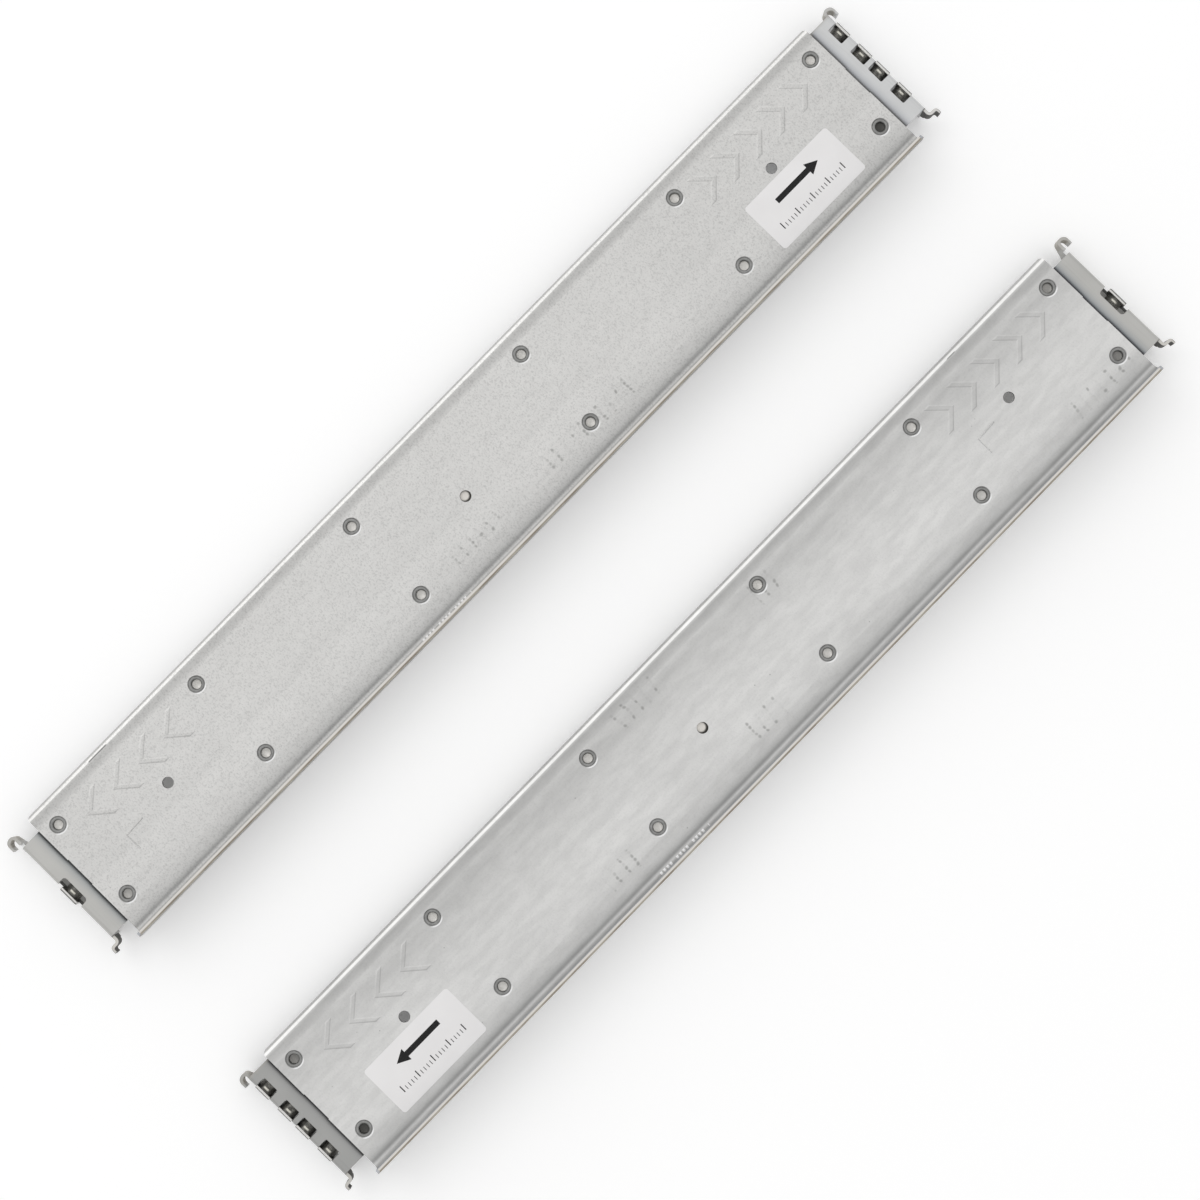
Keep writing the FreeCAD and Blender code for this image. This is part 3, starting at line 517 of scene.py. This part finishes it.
# Each plate finish: its tint, the painted bluish shade beside and under the panel, and the painted shadow
# colour right under the panel's edge.
PLATE_FINISH = {
    "right_front_bracket": plated("zinc plate, light", "right", (0.64, 0.645, 0.645),
                                  (0.60, 0.62, 0.67), (0.10, 0.10, 0.10)),
    "left_front_bracket": plated("zinc plate, grey", "left", (0.385, 0.385, 0.375),
                                 (0.84, 0.84, 0.86), (0.03, 0.03, 0.03)),
    "right_rear": plated("zinc plate, right slide", "right", (0.52, 0.515, 0.495),
                         (0.66, 0.71, 0.76), (0.03, 0.03, 0.03)),
    "left_rear": plated("zinc plate, left slide", "left", (0.50, 0.495, 0.475),
                        (0.60, 0.66, 0.74), (0.04, 0.04, 0.045)),
}
RIVET_FINISH = rolled_steel("rolled rivet steel")
# Bushes: width of the painted light on each collar, and the painted shade colour beyond it.
FRONT_BUSH = bush_steel("dark bush steel, front", FRONT_COLLAR, 1.0 * MM, (0.20, 0.20, 0.19))
REAR_BUSH = bush_steel("dark bush steel, rear", REAR_COLLAR, 0.8 * MM, (0.22, 0.22, 0.21))
PAPER = paper("label paper")
INK = ink("label ink")


# --- pieces --------------------------------------------------------------------------------------
def piece(name, mesh_maker, material, body, slot, *nodes):
    """Finished object from a function that fills a bmesh; it may stand for nodes."""
    shape = bmesh.new()
    mesh_maker(shape)
    mesh = bpy.data.meshes.new(name)
    shape.to_mesh(mesh)
    shape.free()
    return finished(name, mesh, material, body, slot, *nodes)


def finished(name, mesh, material, body, slot, *nodes):
    made = bpy.data.objects.new(name, mesh)
    bpy.context.scene.collection.objects.link(made)
    if material is not None:
        mesh.materials.clear()
        mesh.materials.append(material)
    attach(made, body)
    if nodes:
        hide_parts(*nodes)
    return made


def softened(node, material, body, slot, width):
    """The node's own shape with its sharp edges broken by a small bevel."""
    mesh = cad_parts[node].data.copy()
    shape = bmesh.new()
    shape.from_mesh(mesh)
    bmesh.ops.remove_doubles(shape, verts=shape.verts, dist=1e-6)
    bmesh.ops.dissolve_limit(shape, angle_limit=math.radians(1.0), verts=shape.verts, edges=shape.edges)
    shape.to_mesh(mesh)
    shape.free()
    made = finished(node + "_finished", mesh, material, body, slot, node)
    bevel = made.modifiers.new("edges", "BEVEL")
    bevel.width = width
    bevel.segments = 2
    bevel.limit_method = "ANGLE"
    bevel.angle_limit = math.radians(40)
    bevel.use_clamp_overlap = True
    bake(made)
    shade_by_angle(made, 50)
    made.modifiers.new("flat faces stay flat", "WEIGHTED_NORMAL").keep_sharp = True
    bake(made)
    return made


def bake(made):
    """Applies the modifiers of an object."""
    evaluated = made.evaluated_get(bpy.context.evaluated_depsgraph_get())
    mesh = bpy.data.meshes.new_from_object(evaluated)
    made.modifiers.clear()
    made.data = mesh


def shade_by_angle(made, degrees):
    for face in made.data.polygons:
        face.use_smooth = True
    made.data.set_sharp_from_angle(angle=math.radians(degrees))


# --- rivets --------------------------------------------------------------------------------------
def rivet_profile():
    """Half section of a rivet from its outer head to the bottom of its hollow, as (radius, height)."""
    head_top = RIVET_BOTTOM
    head_base = head_top + 1.7 * MM
    profile = [(0.0, head_top), (2.2 * MM, head_top + 0.05 * MM), (3.6 * MM, head_top + 0.45 * MM)]
    profile += [(4.5 * MM, head_top + 1.1 * MM), (RIVET_REACH, head_base), (3.2 * MM, head_base)]
    profile += [(3.2 * MM, FACE - 1.25 * MM), (4.05 * MM, FACE - 0.55 * MM), (4.28 * MM, FACE - 0.34 * MM)]
    for angle in range(0, 181, 30):
        swing = math.radians(angle)
        radius = 3.45 * MM + 0.82 * MM * math.cos(swing)
        profile.append((radius, CREST - 0.30 * MM + 0.30 * MM * math.sin(swing)))
    profile += [(2.5 * MM, CREST - 0.75 * MM), (2.42 * MM, CREST - 2.3 * MM), (1.9 * MM, CREST - 2.6 * MM)]
    profile.append((0.0, CREST - 2.7 * MM))
    return profile


def turned(shape, profile, segments):
    """Solid of revolution about Z from a profile that starts and ends on the axis."""
    rings = []
    for radius, height in profile:
        if radius == 0.0:
            rings.append([shape.verts.new((0, 0, height))])
        else:
            angles = [2 * math.pi * i / segments for i in range(segments)]
            ring = [(radius * math.cos(a), radius * math.sin(a), height) for a in angles]
            rings.append([shape.verts.new(place) for place in ring])
    for lower, upper in zip(rings, rings[1:]):
        for i in range(segments):
            j = (i + 1) % segments
            corners = [lower[i % len(lower)], lower[j % len(lower)]]
            corners += [upper[j % len(upper)], upper[i % len(upper)]]
            shape.faces.new(list(dict.fromkeys(corners)))
    bmesh.ops.recalc_face_normals(shape, faces=shape.faces)


RIVET_NODES = ["%s_%s" % (rail, group) for rail in RAILS
               for group in ("bracket_rivets", "upper_guide_rivets", "lower_guide_rivets")]


def rivet_points():
    """Centres of all rivets, from the solids' own vertices gathered in cells along both rows."""
    points = []
    for node in RIVET_NODES:
        middle = ROW_MIDDLE[node.split("_")[0]]
        boxes = {}
        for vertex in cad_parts[node].data.vertices:
            cell = (round(vertex.co.x / 0.03), vertex.co.y > middle)
            low, high = boxes.get(cell, (vertex.co.copy(), vertex.co.copy()))
            boxes[cell] = (Vector(map(min, low, vertex.co)), Vector(map(max, high, vertex.co)))
        points += merged_centres(boxes)
    return points


def merged_centres(boxes):
    """Middles of boxes, after boxes whose x ranges meet in the same row are joined."""
    joined = []
    for (_, row), (low, high) in sorted(boxes.items()):
        same = [b for b in joined if b[2] == row and low.x - b[1].x < RIVET_REACH]
        if same:
            same[-1][0] = Vector(map(min, same[-1][0], low))
            same[-1][1] = Vector(map(max, same[-1][1], high))
        else:
            joined.append([low, high, row])
    return [((low + high) / 2).xy for low, high, _ in joined]


def pattern_tree(name):
    """Node tree that sets copies of a unit on points, each turned its own way, and its own inputs."""
    tree = bpy.data.node_groups.new(name + " pattern", "GeometryNodeTree")
    tree.interface.new_socket("Places", in_out="INPUT", socket_type="NodeSocketGeometry")
    unit_input = tree.interface.new_socket("Unit", in_out="INPUT", socket_type="NodeSocketObject")
    seed_input = tree.interface.new_socket("Turn seed", in_out="INPUT", socket_type="NodeSocketInt")
    finish_input = tree.interface.new_socket("Finish", in_out="INPUT", socket_type="NodeSocketMaterial")
    tree.interface.new_socket("Pieces", in_out="OUTPUT", socket_type="NodeSocketGeometry")
    start = tree.nodes.new("NodeGroupInput")
    end = tree.nodes.new("NodeGroupOutput")
    info = tree.nodes.new("GeometryNodeObjectInfo")
    turn = tree.nodes.new("FunctionNodeRandomValue")
    turn.data_type = "FLOAT"
    turn.inputs["Max"].default_value = 2 * math.pi
    axis = tree.nodes.new("ShaderNodeCombineXYZ")
    copies = tree.nodes.new("GeometryNodeInstanceOnPoints")
    real = tree.nodes.new("GeometryNodeRealizeInstances")
    finish = tree.nodes.new("GeometryNodeSetMaterial")
    link = tree.links.new
    link(start.outputs["Places"], copies.inputs["Points"])
    link(start.outputs["Unit"], info.inputs["Object"])
    link(info.outputs["Geometry"], copies.inputs["Instance"])
    link(start.outputs["Turn seed"], turn.inputs["Seed"])
    link(turn.outputs["Value"], axis.inputs["Z"])
    link(axis.outputs[0], copies.inputs["Rotation"])
    link(copies.outputs["Instances"], real.inputs["Geometry"])
    link(real.outputs["Geometry"], finish.inputs["Geometry"])
    link(start.outputs["Finish"], finish.inputs["Material"])
    link(finish.outputs["Geometry"], end.inputs["Pieces"])
    return tree, (unit_input, seed_input, finish_input)


TURN_SEED = 7


def patterned(name, unit, points, body, material, nodes):
    """Copies of a unit on points, baked to one plain mesh."""
    carrier = bpy.data.meshes.new(name + " places")
    carrier.from_pydata([(p[0], p[1], 0) for p in points], [], [])
    made = bpy.data.objects.new(name, carrier)
    bpy.context.scene.collection.objects.link(made)
    modifier = made.modifiers.new("pattern", "NODES")
    modifier.node_group, inputs = pattern_tree(name)
    for socket, value in zip(inputs, (unit, TURN_SEED, material)):
        modifier[socket.identifier] = value
    bake(made)
    shade_by_angle(made, 40)
    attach(made, body)
    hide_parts(*nodes)
    return made


def rivets():
    """All rivets of both rails as copies of one turned shape."""
    shape = bmesh.new()
    turned(shape, rivet_profile(), 40)
    mesh = bpy.data.meshes.new("rivet")
    shape.to_mesh(mesh)
    shape.free()
    unit = bpy.data.objects.new("rivet", mesh)
    bpy.context.scene.collection.objects.link(unit)
    patterned("rolled_rivets", unit, rivet_points(), "rails", RIVET_FINISH, RIVET_NODES)
    bpy.data.objects.remove(unit)


# --- panels, plates and bushes -------------------------------------------------------------------
def panels_and_plates():
    for rail in RAILS:
        front_finish = PLATE_FINISH[rail + "_front_bracket"]
        rear_finish = PLATE_FINISH[rail + "_rear"]
        softened(rail + "_support_panel", PANEL_FINISH[rail], "rails", "panel_sheet", 0.18 * MM)
        softened(rail + "_front_bracket", front_finish, "rails", "bracket_sheet", 0.15 * MM)
        softened(rail + "_rear_slide", rear_finish, rail + "_slide", "bracket_sheet", 0.15 * MM)
        for guide in ("_upper_guide", "_lower_guide"):
            softened(rail + guide, rear_finish, "rails", "bracket_sheet", 0.12 * MM)
        softened(rail + "_front_nuts", FRONT_BUSH, "rails", "nut_steel", 0.12 * MM)
        softened(rail + "_rear_nut", REAR_BUSH, rail + "_slide", "nut_steel", 0.12 * MM)


# --- embossed marks ------------------------------------------------------------------------------
def ridge(name, points, material, radius, height):
    """Low rounded ridge along an open line on the equipment face."""
    curve = bpy.data.curves.new(name, "CURVE")
    curve.dimensions = "3D"
    curve.bevel_depth = radius
    curve.bevel_resolution = 2
    curve.use_fill_caps = True
    line = curve.splines.new("POLY")
    line.points.add(len(points) - 1)
    for target, (x, y) in zip(line.points, points):
        target.co = (x, y, height, 1)
    temporary = bpy.data.objects.new(name, curve)
    bpy.context.scene.collection.objects.link(temporary)
    evaluated = temporary.evaluated_get(bpy.context.evaluated_depsgraph_get())
    mesh = bpy.data.meshes.new_from_object(evaluated)
    bpy.data.objects.remove(temporary)
    made = finished(name, mesh, material, "rails", "panel_sheet")
    shade_by_angle(made, 60)
    return made


EMBOSS_PROFILE = ((0.0, -0.03), (0.35, 0.07), (0.95, 0.38), (1.3, 0.44))    # inset and height in mm
CHEVRON_STROKE = 5.2 * MM               # along the rail
CHEVRON_LENGTH = 0.88                   # of the step between chevrons
CHEVRON_ROWS = ((-191 * MM, -262 * MM, 4), (184 * MM, 266 * MM, 5))     # start, end and count
CHEVRON_LOW, CHEVRON_HIGH = 8 * MM, 27 * MM
CORNER_LINE = {"right": -254.4 * MM, "left": 194.4 * MM}    # its place along each panel


def inset(points, depth):
    """Outline moved inward by a depth; its points run with the inside on their left."""
    moved = []
    for i, here in enumerate(points):
        before = (here - points[i - 1]).normalized()
        after = (points[(i + 1) % len(points)] - here).normalized()
        left = Vector((-before.y, before.x)), Vector((-after.y, after.x))
        moved.append(here + depth * (left[0] + left[1]) / (1 + left[0].dot(left[1])))
    return moved


def raised(shape, points):
    """Low stamped shape with soft flanks and a flat top."""
    loops = []
    for depth, height in EMBOSS_PROFILE:
        loops.append([shape.verts.new((*p, FACE + height * MM)) for p in inset(points, depth * MM)])
    for outer, inner in zip(loops, loops[1:]):
        for i in range(len(outer)):
            j = (i + 1) % len(outer)
            shape.faces.new((outer[i], outer[j], inner[j], inner[i]))
    shape.faces.new(loops[-1])


def chevron(base, tip, low, high):
    """Outline of a chevron whose point lies at the tip."""
    way = 1 if tip > base else -1
    middle = (low + high) / 2
    stroke = way * CHEVRON_STROKE
    points = [(base, low), (base + stroke, low), (tip, middle)]
    points += [(base + stroke, high), (base, high), (tip - stroke, middle)]
    return [Vector(p) for p in (points if way > 0 else points[::-1])]


def chevrons(shape, y):
    """Rows of chevrons that point to both ends of a panel."""
    for start, end, count in CHEVRON_ROWS:
        step = (end - start) / (count - 1 + CHEVRON_LENGTH)
        for i in range(count):
            base = start + step * i
            raised(shape, chevron(base, base + step * CHEVRON_LENGTH, y + CHEVRON_LOW, y + CHEVRON_HIGH))


def embossing():
    """A plain row of chevrons near both ends of each panel, and a small corner line."""
    for rail in RAILS:
        y = ROW_MIDDLE[rail]
        finish = PANEL_FINISH[rail]
        made = piece(rail + "_embossing", lambda s, y=y: chevrons(s, y), finish, "rails", "panel_sheet")
        shade_by_angle(made, 60)
        x = CORNER_LINE[rail]
        corner = [(x + 12 * MM, y - 3.2 * MM), (x, y - 4 * MM), (x, y - 13.5 * MM)]
        ridge(rail + "_corner_line", corner, finish, 0.40 * MM, FACE - 0.16 * MM)


# --- labels --------------------------------------------------------------------------------------
def flat_shape(shape, outline, low, high):
    """Plate between two heights with the given outline."""
    bottom = [shape.verts.new((x, y, low)) for x, y in outline]
    top = [shape.verts.new((x, y, high)) for x, y in outline]
    count = len(outline)
    shape.faces.new(top)
    shape.faces.new(bottom[::-1])
    for i in range(count):
        j = (i + 1) % count
        shape.faces.new((bottom[i], bottom[j], top[j], top[i]))
    bmesh.ops.recalc_face_normals(shape, faces=shape.faces)


def rounded_outline(x0, x1, y0, y1, radius, steps=6):
    points = []
    for cx, cy, turn in ((x1 - radius, y1 - radius, 0), (x0 + radius, y1 - radius, 90),
                         (x0 + radius, y0 + radius, 180), (x1 - radius, y0 + radius, 270)):
        for i in range(steps + 1):
            angle = math.radians(turn + 90 * i / steps)
            points.append((cx + radius * math.cos(angle), cy + radius * math.sin(angle)))
    return points


LABEL_HALF_LENGTH, LABEL_HALF_HEIGHT = 29.9 * MM, 14.9 * MM
LABEL_CORNER = 1.8 * MM
LABEL_FACE = FACE + 0.13 * MM


def labels():
    """White label near each front end, with a plain arrow and a small scale of ticks."""
    for rail, front in RAILS.items():
        x = front * 225.4 * MM
        y = ROW_MIDDLE[rail] - 19.6 * MM
        outline = rounded_outline(x - LABEL_HALF_LENGTH, x + LABEL_HALF_LENGTH,
                                  y - LABEL_HALF_HEIGHT, y + LABEL_HALF_HEIGHT, LABEL_CORNER)
        piece(rail + "_label", lambda s, o=outline: flat_shape(s, o, FACE - 0.02 * MM, LABEL_FACE),
              PAPER, "rails", "panel_sheet")
        piece(rail + "_label_print", lambda s, c=(x, y), f=front: label_print(s, c, f),
              INK, "rails", "panel_sheet")


def label_print(shape, centre, front):
    """Arrow towards the front end, above a scale with every fifth tick longer."""
    x, y = centre
    low, high = LABEL_FACE - 0.01 * MM, LABEL_FACE + 0.02 * MM
    y_arrow = y + 5.6 * MM
    tail, neck, tip = -15.0 * MM * front, 8.0 * MM * front, 15.0 * MM * front
    lower_side = [(tail, -1.5 * MM), (neck, -1.5 * MM), (neck, -3.7 * MM)]
    arrow = lower_side + [(tip, 0)] + [(a, -b) for a, b in reversed(lower_side)]
    flat_shape(shape, [(x + a, y_arrow + b) for a, b in arrow], low, high)
    base = y - 7.4 * MM
    for i in range(21):
        long_tick = i % 5 == 0
        top = base + (4.0 if long_tick else 2.4) * MM
        half = (0.28 if long_tick else 0.18) * MM
        x_tick = x + (i - 10) * 2.2 * MM
        tick = [(x_tick - half, base), (x_tick + half, base), (x_tick + half, top), (x_tick - half, top)]
        flat_shape(shape, tick, low, high)


# --- studio --------------------------------------------------------------------------------------
def studio_floor():
    """White floor that keeps the shadows; its glow is less under the rails, a painted shadow there."""
    floor = bpy.data.objects.new("floor", bpy.data.meshes.new("floor"))
    floor.data.from_pydata([(-60, -60, 0), (60, -60, 0), (60, 60, 0), (-60, 60, 0)], [], [(0, 1, 2, 3)])
    bpy.context.scene.collection.objects.link(floor)
    floor.location.z = -0.0002
    paint = Paint("studio floor")
    paint.set(Base_Color=(0.90, 0.90, 0.90, 1), Roughness=0.9)
    paths = paint.node("ShaderNodeLightPath")
    seen = paint.math("MAXIMUM", paths.outputs["Is Camera Ray"], paths.outputs["Is Glossy Ray"])
    x, y, _ = paint.xyz()
    open_floor = 1.0
    for rail in RAILS:
        across = paint.math("SUBTRACT", y, ROW_MIDDLE[rail])
        along_rail = paint.band(x, -262 * MM, 262 * MM, 16 * MM)
        under = paint.product(paint.band(across, -28 * MM, 24 * MM, 10 * MM), along_rail)
        open_floor = paint.product(open_floor, paint.math("SUBTRACT", 1.0, under))
    # Painted shadow: less glow on the floor under the rails.
    fill = paint.product(seen, paint.step(open_floor, 0.0, 1.0, 0.09, 0.20))
    paint.set(Emission_Color=(1, 1, 1, 1), Emission_Strength=fill)
    floor.data.materials.append(paint.material)


def light_tent():
    """Surroundings that are brightest overhead and towards +Y."""
    world = bpy.data.worlds.new("studio")
    bpy.context.scene.world = world
    world.use_nodes = True
    tree = world.node_tree
    coords = tree.nodes.new("ShaderNodeTexCoord")
    split = tree.nodes.new("ShaderNodeSeparateXYZ")
    height = tree.nodes.new("ShaderNodeMath")
    height.operation = "MULTIPLY_ADD"
    height.inputs[1].default_value = 0.5
    height.inputs[2].default_value = 0.25
    lean = tree.nodes.new("ShaderNodeMath")
    lean.operation = "MULTIPLY_ADD"
    lean.inputs[1].default_value = 0.25
    ramp = tree.nodes.new("ShaderNodeValToRGB")
    tree.links.new(coords.outputs["Generated"], split.inputs[0])
    tree.links.new(split.outputs["Z"], height.inputs[0])
    tree.links.new(split.outputs["Y"], lean.inputs[0])
    tree.links.new(height.outputs[0], lean.inputs[2])
    tree.links.new(lean.outputs[0], ramp.inputs[0])
    stops = ((0.0, 0.50), (0.30, 0.68), (0.55, 0.84), (0.75, 0.95), (0.82, 1.0))
    ramp.color_ramp.elements.remove(ramp.color_ramp.elements[1])
    for i, (place, level) in enumerate(stops):
        stop = ramp.color_ramp.elements[0] if i == 0 else ramp.color_ramp.elements.new(place)
        stop.position = place
        stop.color = (level, level, level, 1)
    tree.links.new(ramp.outputs["Color"], tree.nodes["Background"].inputs["Color"])
    tree.nodes["Background"].inputs["Strength"].default_value = 1.0


def soft_lamp(name, place, aim, size, level):
    """Square lamp whose own surface has the given brightness."""
    lamp = bpy.data.lights.new(name, "AREA")
    lamp.shape = "SQUARE"
    lamp.size = size
    lamp.energy = level * math.pi * size * size
    made = bpy.data.objects.new(name, lamp)
    bpy.context.scene.collection.objects.link(made)
    made.location = place
    made.rotation_euler = (Vector(aim) - Vector(place)).to_track_quat("-Z", "Y").to_euler()
    return made


def camera():
    """Nearly straight down on the pair, the rails rising to the right across the view."""
    lens = bpy.data.cameras.new("camera")
    lens.sensor_fit = "HORIZONTAL"
    lens.angle = math.radians(27.57)
    made = bpy.data.objects.new("camera", lens)
    bpy.context.scene.collection.objects.link(made)
    rows = Vector((0, (ROW_MIDDLE["right"] + ROW_MIDDLE["left"]) / 2, FACE))
    eye = rows + Vector((-30.2, -52.9, 1248.8)) * MM
    aim = rows + Vector((0.07, -7.67, 0)) * MM
    back = (eye - aim).normalized()
    right = Vector((0.7147, 0.6994, 0)).cross(back).normalized()
    upward = back.cross(right)
    turn = Matrix((right, upward, back)).transposed()
    made.matrix_world = Matrix.Translation(eye) @ turn.to_4x4()
    bpy.context.scene.camera = made


panels_and_plates()
rivets()
embossing()
labels()
studio_floor()
light_tent()
soft_lamp("upper side", (-0.3, 1.5, 1.9), (0, 0, 0), 1.2, 0.7)
camera()
bpy.context.scene.view_settings.view_transform = "Standard"
